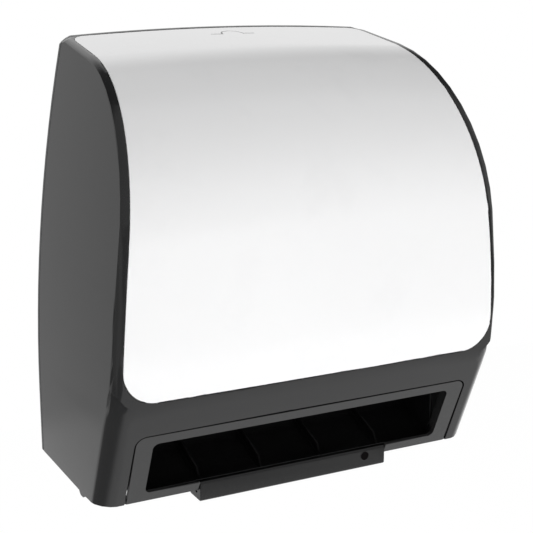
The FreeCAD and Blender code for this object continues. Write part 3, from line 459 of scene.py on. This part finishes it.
def shareOf(value, span):
    return min(max((value - span[0]) / (span[1] - span[0]), 0.0), 1.0)


def fullerRim(shape, setup=coverRim):
    # the rim is a full round, so it shows on the far side too
    shape.normal_update()
    inner = [v for v in shape.verts
             if abs(v.co.x) > setup["halfInside"] and all(onRim(face) for face in v.link_faces)]
    inside = set(inner)
    moves = {}
    for v in inner:
        edge = any(link.other_vert(v) not in inside for link in v.link_edges)
        rise = shareOf((v.co.z + underZero) * 1000.0, setup["from"])
        rise *= shareOf(-v.co.y * 1000.0, setup["rear"])
        moves[v] = v.normal * (setup["extra"] * rise * (setup["atEdge"] if edge else 1.0))
    for v, move in moves.items():
        v.co += move
    shape.normal_update()


def roundBack(shape, setup=coverRim):
    def outerBack(edge):
        if any(v.co.y < -setup["backEdge"] for v in edge.verts) or len(edge.link_faces) != 2:
            return False
        turns = sorted(edge.link_faces, key=lambda face: face.normal.y)
        where = turns[0].calc_center_median()
        away = turns[0].normal.x * where.x > 0.0 or turns[0].normal.z > setup["backBeside"]
        beside = abs(turns[0].normal.y) < setup["backBeside"]
        return turns[1].normal.y > setup["backFacing"] and beside and away

    edges = [edge for edge in shape.edges if outerBack(edge)]
    bmesh.ops.bevel(
        shape, geom=edges, offset=setup["backRound"], segments=4, clamp_overlap=False, **bevelBase)
    print("rear edge rounded along", len(edges), "edges")


def roundEdges(name, radius):
    shape = mergedCopy(name)
    isCover = name == "cover_shell"
    if isCover:
        roundBack(shape)
    edges = [edge for edge in shape.edges if roomy(edge, radius)]
    bmesh.ops.bevel(shape, geom=edges, offset=radius, segments=2, clamp_overlap=False, **bevelBase)
    bmesh.ops.recalc_face_normals(shape, faces=shape.faces)
    if isCover:
        fullerRim(shape)
    piece = newPiece(
        pieceName(name), shape, bodyOf(name), slotOf[name], crisp=rimLine if isCover else None)
    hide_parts(name)
    flat = piece.modifiers.new("faces", "WEIGHTED_NORMAL")
    flat.keep_sharp = True
    return piece


rounded = {name: roundEdges(name, radius) for name, radius in edgeRounds.items()}
print("edges rounded,", len(rounded), "pieces")


# Small parts that the CAD leaves out; their places are x, depth and height in millimetres
def mm(x, depth, height):
    return place(x / 1000.0, depth / 1000.0, height / 1000.0)


def treeOf(name):
    shape = bmesh.new()
    shape.from_mesh(nodes[name].data)
    tree = BVHTree.FromBMesh(shape)
    shape.free()
    return tree


def standing(where, normal):
    # the matrix that stands a part, made along Z, on a surface
    return Matrix.Translation(where) @ normal.to_track_quat("Z", "Y").to_matrix().to_4x4()


def turned(shape, outline, steps=28):
    # spins an outline of radius and height pairs round Z
    verts = [shape.verts.new((radius, 0.0, height)) for radius, height in outline]
    edges = [shape.edges.new(pair) for pair in zip(verts, verts[1:])]
    bmesh.ops.spin(
        shape, geom=verts + edges, cent=(0.0, 0.0, 0.0), axis=(0.0, 0.0, 1.0), dvec=(0.0, 0.0, 0.0),
        angle=math.tau, steps=steps, use_merge=True, use_duplicate=False)
    bmesh.ops.remove_doubles(shape, verts=shape.verts, dist=0.000001)
    bmesh.ops.recalc_face_normals(shape, faces=shape.faces)


def slab(shape, size, middle, rounding=0.0):
    made = bmesh.ops.create_cube(shape, size=1.0)["verts"]
    bmesh.ops.scale(shape, vec=size, verts=made)
    bmesh.ops.translate(shape, vec=middle, verts=made)
    if rounding:
        edges = list({edge for v in made for edge in v.link_edges})
        bmesh.ops.bevel(
            shape, geom=edges, offset=rounding, segments=2, clamp_overlap=True, **bevelBase)


def meshOf(name, build):
    shape = bmesh.new()
    build(shape)
    mesh = bpy.data.meshes.new(name)
    shape.to_mesh(mesh)
    shape.free()
    return mesh


def cutFrom(mesh, build):
    # the mesh less the shape that build makes
    whole = bpy.data.objects.new("whole", mesh)
    cutter = bpy.data.objects.new("cutter", meshOf("cutter", build))
    for item in (whole, cutter):
        bpy.context.scene.collection.objects.link(item)
    cut = whole.modifiers.new("cut", "BOOLEAN")
    cut.operation, cut.solver, cut.object = "DIFFERENCE", "EXACT", cutter
    ready = bpy.data.meshes.new_from_object(whole.evaluated_get(bpy.context.evaluated_depsgraph_get()))
    for item in (whole, cutter):
        bpy.data.objects.remove(item)
    return ready


screwHead = {
    # of a head of radius 1: outline of the dome, half length and half width of the cross, and its depth
    "outline": [(0.0, 0.0), (0.96, 0.0), (1.0, 0.05), (0.99, 0.19), (0.93, 0.38), (0.78, 0.53),
                (0.52, 0.60), (0.0, 0.62)],
    "recess": 0.62, "slot": 0.13, "deep": 0.4,
}
screwTurns = (0.7, 1.9)     # how far the first cross is turned, and each next one more, in radians


def screwMesh(setup=screwHead):
    # pan head with a cross recess
    mesh = meshOf("screwHead", lambda shape: turned(shape, setup["outline"], 32))
    long, wide, deep = 2.0 * setup["recess"], 2.0 * setup["slot"], 2.0 * setup["deep"]
    top = (0.0, 0.0, setup["outline"][-1][1])
    for size in ((long, wide, deep), (wide, long, deep)):
        mesh = cutFrom(mesh, lambda shape: slab(shape, size, top))
    return mesh


screwTemplate = screwMesh()

toWall, toFront, toRight = (0, 1, 0), (0, -1, 0), (1, 0, 0)
screwSets = {
    # piece: node that carries it, head radius, start points, and the way they drop on to the node
    "bladeScrews": ("tear_blade", 2.6, [(x, 142, 61.5) for x in (-96, -48, 0, 48, 96)], toWall),
    "boardScrews": (
        "control_board", 2.2, [(x, 45, z) for x in (-8.5, 98.5) for z in (55.5, 90.5)], toFront),
    "leftArmScrews": ("roll_arm_left", 2.9, [(-119.5, 60, z) for z in (178, 202)], toWall),
    "rightFootScrews": ("arm_foot_right", 2.9, [(119.8, 60, z) for z in (178, 202)], toWall),
    "motorScrews": ("drive_frame", 1.9, [(-140, 51.7, z) for z in (95.6, 116.6)], toRight),
}


def makeScrews(name, carrier, radius, starts, along):
    tree = treeOf(carrier)
    shape = bmesh.new()
    for index, start in enumerate(starts):
        before = len(shape.verts)
        shape.from_mesh(screwTemplate)
        shape.verts.ensure_lookup_table()
        fresh = shape.verts[before:]
        turn = screwTurns[0] + screwTurns[1] * index
        spun = Matrix.Rotation(turn, 4, "Z") @ Matrix.Scale(radius / 1000.0, 4)
        where, normal, _, _ = tree.ray_cast(mm(*start), Vector(along))
        bmesh.ops.transform(shape, matrix=standing(where, normal) @ spun, verts=fresh)
    newPiece(name, shape, bodyOf(carrier), "steel")


for name, values in screwSets.items():
    makeScrews(name, *values)
print("screws set,", len(screwSets), "groups")


def alongX(x, depth, height, side=1.0):
    # the matrix that lays a part, made along Z, along X
    return Matrix.Translation(mm(x, depth, height)) @ Matrix.Rotation(side * math.radians(90.0), 4, "Y")


def addTurned(shape, outline, matrix, steps=32):
    # a turned part, its outline in millimetres, joins a shape
    extra = bmesh.new()
    turned(extra, [(radius / 1000.0, height / 1000.0) for radius, height in outline], steps)
    bmesh.ops.transform(extra, matrix=matrix, verts=extra.verts)
    mesh = bpy.data.meshes.new("extra")
    extra.to_mesh(mesh)
    extra.free()
    shape.from_mesh(mesh)
    bpy.data.meshes.remove(mesh)


def block(shape, x, depth, height, rounding):
    # x, depth and height are pairs in millimetres
    low, high = mm(x[0], depth[0], height[0]), mm(x[1], depth[1], height[1])
    size = [abs(high[i] - low[i]) for i in range(3)]
    slab(shape, size, (low + high) / 2.0, rounding)


def around(middle, width):
    return middle - width / 2, middle + width / 2


# Four plain D cells in a row, the raised end of each to the right
cellSetup = {
    "leftEnd": -122.9, "depth": 26.7, "height": 22.3,
    "outline": [(0.0, 0.0), (12.0, 0.0), (12.5, 0.3), (13.7, 0.3), (14.3, 0.0), (16.2, 0.0),
                (16.9, 0.35), (17.1, 0.9), (17.1, 58.7), (16.8, 59.2), (14.2, 59.3), (13.2, 58.9),
                (6.4, 58.9), (5.3, 59.3), (4.9, 60.0), (4.7, 61.0), (4.2, 61.3), (0.0, 61.3)],
}


def makeCells(setup=cellSetup):
    shape = bmesh.new()
    for index in range(cellCount):
        x = setup["leftEnd"] + index * cellPitch * 1000.0
        addTurned(shape, setup["outline"], alongX(x, setup["depth"], setup["height"]), 56)
    piece = newPiece("batteryCells", shape, bodyOf("battery_cells"), "cell_wrap")
    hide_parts("battery_cells")


makeCells()
print("cells made")

# Lip of the mouth's frame at each side, close behind the cover's lower corner
mouthLip = {"x": (127.9, 129.3), "depth": (111.0, 121.6), "height": (0.4, 16.0), "rounding": 0.0003}


def makeMouthLips(setup=mouthLip):
    shape = bmesh.new()
    for side in (-1.0, 1.0):
        xs = [side * x for x in setup["x"]]
        block(shape, xs, setup["depth"], setup["height"], setup["rounding"])
    newPiece("mouthLips", shape, bodyOf("throat_bezel"), "bezel_graphite")


makeMouthLips()

# Sensor bar: ring round the lens, and the pin hole in the left end
lensRing = {
    "centre": (57.5, 1.0), "reach": 4.4, "ahead": 140.0,
    "outline": [(3.25, -0.6), (3.25, 0.08), (3.4, 0.2), (3.7, 0.2), (3.9, 0.05), (3.9, -0.6),
                (3.25, -0.6)],
}
pinHole = {
    # a hole with a smaller pin that stands a little below its rim
    "where": (-74.6, 116.7, -1.8),
    "hole": [(0.0, -1.6), (1.6, -1.6), (2.0, -1.3), (2.0, 1.6), (0.0, 1.6)],
    "pin": [(0.0, -1.7), (1.1, -1.7), (1.1, -0.6), (0.9, -0.4), (0.0, -0.4)],
}


def makeLensRing(setup=lensRing):
    tree = treeOf("sensor_bar")
    x, height = setup["centre"]
    starts = [mm(x + side * setup["reach"], setup["ahead"], height) for side in (-1.0, 1.0)]
    left, right = [tree.ray_cast(start, Vector(toWall)) for start in starts]
    where, normal = (left[0] + right[0]) / 2.0, (left[1] + right[1]).normalized()
    shape = bmesh.new()
    addTurned(shape, setup["outline"], standing(where, normal), 48)
    newPiece("lensRing", shape, bodyOf("sensor_bar"), "chute_black")


def drillPinHole(setup=pinHole):
    bar = rounded["sensor_bar"]
    bar.data = cutFrom(
        bar.data, lambda shape: addTurned(shape, setup["hole"], alongX(*setup["where"]), 32))
    pin = bmesh.new()
    addTurned(pin, setup["pin"], alongX(*setup["where"], side=-1.0), 24)
    newPiece("barPin", pin, bodyOf("sensor_bar"), "housing_graphite")


makeLensRing()
drillPinHole()
print("sensor bar finished")

# Parts on the control board's rear, whose face is at boardRear
boardRear = 56.4
boardChips = [
    # x, height, width, breadth, thickness
    (0.0, 60.0, 9.0, 6.0, 1.6), (1.0, 76.0, 6.0, 6.0, 1.4), (34.0, 61.0, 10.0, 5.0, 1.8),
    (36.0, 80.0, 7.0, 9.0, 1.6), (50.0, 88.0, 5.0, 3.0, 1.2), (93.0, 80.0, 6.0, 8.0, 1.7),
    (28.0, 70.5, 2.2, 1.2, 0.7), (28.0, 75.5, 2.2, 1.2, 0.7), (6.5, 68.0, 1.2, 2.2, 0.7),
    (46.0, 72.0, 2.2, 1.2, 0.7), (46.0, 75.0, 2.2, 1.2, 0.7), (70.0, 76.0, 2.2, 1.2, 0.7),
    (74.0, 76.0, 2.2, 1.2, 0.7), (88.0, 68.0, 1.2, 2.2, 0.7),
]
chipRounding = 0.00012
# x, height, radius, length
boardCans = [(46.0, 59.0, 3.2, 6.6), (54.0, 59.0, 3.2, 6.6), (92.0, 62.0, 4.0, 6.8)]
# as the chips
boardSockets = [(6.0, 88.0, 12.0, 5.0, 5.6), (76.0, 87.0, 17.0, 5.2, 5.6)]
socketWall, socketDeep = 0.0009, 0.004


def canOutline(radius, tall):
    # a beaded can with a sunk end
    return [(0.0, 0.0), (radius, 0.0), (radius, 0.9), (0.93 * radius, 1.2), (radius, 1.5),
            (radius, tall - 0.4), (radius - 0.4, tall), (0.6 * radius, tall),
            (0.55 * radius, tall - 0.15), (0.0, tall - 0.15)]


def makeBoardParts():
    chips, cans, sockets = bmesh.new(), bmesh.new(), bmesh.new()
    for x, height, wide, tall, thick in boardChips:
        block(chips, around(x, wide), (boardRear - thick, boardRear), around(height, tall), chipRounding)
    backward = Matrix.Rotation(math.radians(-90.0), 4, "X")
    for x, height, radius, tall in boardCans:
        stand = Matrix.Translation(mm(x, boardRear, height)) @ backward
        addTurned(cans, canOutline(radius, tall), stand, 32)
    for x, height, wide, tall, thick in boardSockets:
        block(sockets, around(x, wide), (boardRear - thick, boardRear), around(height, tall), 0.0)
        faceMiddle = mm(x, boardRear - thick, height)
        outer = [face for face in sockets.faces
                 if (face.calc_center_median() - faceMiddle).length < weld]
        bmesh.ops.inset_region(sockets, faces=outer, thickness=socketWall, depth=0.0)
        sunk = list({v for face in outer for v in face.verts})
        bmesh.ops.translate(sockets, vec=(0.0, -socketDeep, 0.0), verts=sunk)
    for name, shape, slot in (
            ("boardChips", chips, "switch_black"), ("boardCans", cans, "motor_can"),
            ("boardSockets", sockets, "acetal_white")):
        bmesh.ops.recalc_face_normals(shape, faces=shape.faces)
        newPiece(name, shape, bodyOf("control_board"), slot)


makeBoardParts()
print("board parts made")

# Motor: end cap of black plastic with its bearing boss, and two tabs
motorEnd = {
    "depth": 51.7, "height": 106.1, "start": -60.0, "probe": 9.0,
    "cap": [(0.0, 0.0), (11.9, 0.0), (11.9, 0.9), (11.5, 1.3), (4.2, 1.4), (3.9, 1.7), (3.9, 2.5),
            (3.6, 2.8), (1.3, 2.8), (1.1, 2.4), (0.0, 2.4)],
    # the tabs: distance to each side of the axis, start and end from the motor's face, and section
    "tabSide": 7.6, "tabSpan": (1.0, 5.4), "tabThick": 0.5, "tabBroad": 2.4, "tabRounding": 0.0001,
}


def makeMotorEnd(setup=motorEnd):
    tree = treeOf("motor_body")
    probe = mm(setup["start"], setup["depth"], setup["height"] + setup["probe"])
    face = tree.ray_cast(probe, Vector((-1.0, 0.0, 0.0)))[0].x * 1000.0
    cap = bmesh.new()
    addTurned(cap, setup["cap"], alongX(face, setup["depth"], setup["height"]), 40)
    newPiece("motorCap", cap, bodyOf("motor_body"), "switch_black")
    tabs = bmesh.new()
    for side in (-1.0, 1.0):
        block(tabs, [face + reach for reach in setup["tabSpan"]],
              around(setup["depth"] + side * setup["tabSide"], setup["tabThick"]),
              around(setup["height"], setup["tabBroad"]), setup["tabRounding"])
    newPiece("motorTabs", tabs, bodyOf("motor_body"), "contact_steel")


makeMotorEnd()
print("motor end made")

# Stage: a floor far below, two soft boxes and a pale room. Each list of stops is (place, grey).
stageSetup = {
    "floor": -1.1,          # frame height; the dispenser hangs well above it
    "floorReach": 2.37,     # half its size; its rear edge is the line low on the side wall
    "floorTone": (0.86, 0.86, 0.86),
    "floorGlow": 0.94,      # share of plain white that the camera sees
    "glowStrength": 1.03,
    "floorLeft": (-0.9, -0.55),     # x over which the floor's left part ends
    "glossFront": 0.90,             # the rest of the floor as gloss sees it
    # the floor's left part as gloss sees it, from its front edge at 0 to its rear edge at 1
    "floorInGloss": ((0.0, 0.34), (0.2, 0.27), (0.72, 0.27), (0.8, 0.61), (1.0, 0.61)),
    # the room, as matt light sees it and as gloss sees it: by the sine of the height, and front to rear
    "room": 0.40,
    "roomInGloss": ((0.0, 1.0), (0.30, 1.0), (0.32, 0.50), (0.54, 0.56), (0.64, 0.95), (1.0, 0.9)),
    "roomBack": ((0.0, 0.5), (0.44, 0.5), (0.54, 0.08), (0.78, 0.08), (0.88, 0.95), (1.0, 1.0)),
    # how much lighter gloss sees the room far to the left and right, and from which sine on
    "roomSides": 0.40,
    "sidesFrom": (0.74, 0.92),
    # name: where, aim, size, watts
    "lamps": {
        "frontBox": ((0.25, -2.1, -0.72), (0.0, -0.1, 0.0), (1.7, 1.4), 42.2),
        "rearBox": ((0.1, 1.2, 1.9), (0.0, -0.1, 0.1), (1.4, 1.2), 29.0),
    },
}


def greyStops(stops):
    return {"stops": [(spot, (grey, grey, grey)) for spot, grey in stops]}


def makeRoom(setup):
    world = bpy.data.worlds.new("paleRoom")
    bpy.context.scene.world = world
    world.use_nodes = True
    tree = world.node_tree
    background = tree.nodes["Background"]
    path = tree.nodes.new("ShaderNodeLightPath")
    camera, gloss = Wire(tree, path.outputs["Is Camera Ray"]), Wire(tree, path.outputs["Is Glossy Ray"])
    look = Wire(tree, tree.nodes.new("ShaderNodeTexCoord").outputs["Generated"])
    height, back = look.part("Z") * 0.5 + 0.5, look.part("Y") * 0.5 + 0.5
    inGloss = height.node("ShaderNodeValToRGB", greyStops(setup["roomInGloss"]), {0: height})
    inGloss = inGloss * back.node("ShaderNodeValToRGB", greyStops(setup["roomBack"]), {0: back})
    sides = abs(look.part("X")).ramp(0.0, setup["roomSides"], *setup["sidesFrom"])
    inGloss = inGloss + sides * (1.0 - inGloss)
    strength = setup["room"] + gloss * (inGloss - setup["room"]) + camera * (1.0 - setup["room"])
    background.inputs["Color"].default_value = (1.0, 1.0, 1.0, 1.0)
    tree.links.new(strength.socket, background.inputs["Strength"])


def makeFloor(setup):
    mesh = bpy.data.meshes.new("paleFloor")
    shape = bmesh.new()
    bmesh.ops.create_grid(shape, x_segments=1, y_segments=1, size=setup["floorReach"])
    bmesh.ops.translate(shape, verts=shape.verts, vec=(0.0, 0.0, setup["floor"]))
    shape.to_mesh(mesh)
    shape.free()
    floor = bpy.data.objects.new("paleFloor", mesh)
    bpy.context.scene.collection.objects.link(floor)
    made, shader, start = newMaterial("paleFloor")
    cloud = start.noise(0.8, 3.0)
    feed(shader, {
        "Base Color": cloud.blend(tone(setup["floorTone"], 0.98), tone(setup["floorTone"], 1.02)),
        "Roughness": 0.8 + cloud * 0.1,
    })
    tree = made.node_tree
    path = tree.nodes.new("ShaderNodeLightPath")
    glow = tree.nodes.new("ShaderNodeEmission")
    glow.inputs["Strength"].default_value = setup["glowStrength"]
    mixer = tree.nodes.new("ShaderNodeMixShader")
    back = start.part("Y") / (2.0 * setup["floorReach"]) + 0.5
    leftPart = start.part("X").ramp(1.0, 0.0, *setup["floorLeft"])
    leftGloss = back.node("ShaderNodeValToRGB", greyStops(setup["floorInGloss"]), {0: back})
    inGloss = setup["glossFront"] + leftPart * (leftGloss - setup["glossFront"])
    shine = tree.nodes.new("ShaderNodeEmission")
    tree.links.new(inGloss.socket, shine.inputs["Strength"])
    camera, gloss = Wire(tree, path.outputs["Is Camera Ray"]), Wire(tree, path.outputs["Is Glossy Ray"])
    tree.links.new((camera * setup["floorGlow"]).socket, mixer.inputs[0])
    tree.links.new(shader.outputs[0], mixer.inputs[1])
    tree.links.new(glow.outputs[0], mixer.inputs[2])
    glossMixer = tree.nodes.new("ShaderNodeMixShader")
    tree.links.new(gloss.socket, glossMixer.inputs[0])
    tree.links.new(mixer.outputs[0], glossMixer.inputs[1])
    tree.links.new(shine.outputs[0], glossMixer.inputs[2])
    out = next(n for n in tree.nodes if n.type == "OUTPUT_MATERIAL")
    tree.links.new(glossMixer.outputs[0], out.inputs["Surface"])
    floor.data.materials.append(made)


def makeStage(setup):
    makeRoom(setup)
    makeFloor(setup)
    for name, (where, aim, size, watts) in setup["lamps"].items():
        data = bpy.data.lights.new(name, "AREA")
        data.shape = "RECTANGLE"
        data.size, data.size_y = size
        data.energy = watts
        lamp = bpy.data.objects.new(name, data)
        lamp.visible_glossy = False
        bpy.context.scene.collection.objects.link(lamp)
        lamp.location = where
        lamp.rotation_mode = "QUATERNION"
        lamp.rotation_quaternion = (Vector(aim) - Vector(where)).to_track_quat("-Z", "Y")
    bpy.context.scene.view_settings.view_transform = "Standard"


makeStage(stageSetup)
print("stage and lamps set")
